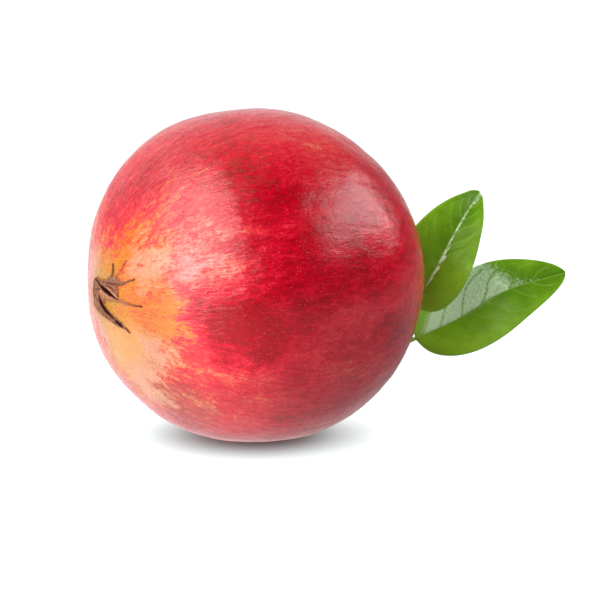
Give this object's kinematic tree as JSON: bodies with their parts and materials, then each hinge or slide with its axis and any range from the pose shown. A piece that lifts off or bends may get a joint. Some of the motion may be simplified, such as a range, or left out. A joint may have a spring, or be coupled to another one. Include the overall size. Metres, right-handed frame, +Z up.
{
  "type": "pomegranate",
  "caption": "Whole pomegranate lying on its side: a round fruit with its dried calyx at one end and a short woody stalk with leaves at the other.",
  "frame": {"origin": "on the small flat spot that the fruit rests on, straight under the middle of the fruit", "axes": "+Z up from the surface; -X towards the calyx; +X towards the stalk and the leaves; -Y is the front"},
  "size_m": [0.1454, 0.0907, 0.0884],
  "materials": {
    "rind": "satin",
    "dried_calyx": "matte",
    "bark": "matte",
    "leaf": "satin"
  },
  "bodies": {
    "root": {"fruit": "rind", "calyx": "dried_calyx", "stalk": "bark", "leaf_upper": "leaf", "leaf_lower": "leaf"}
  },
  "joints": []
}
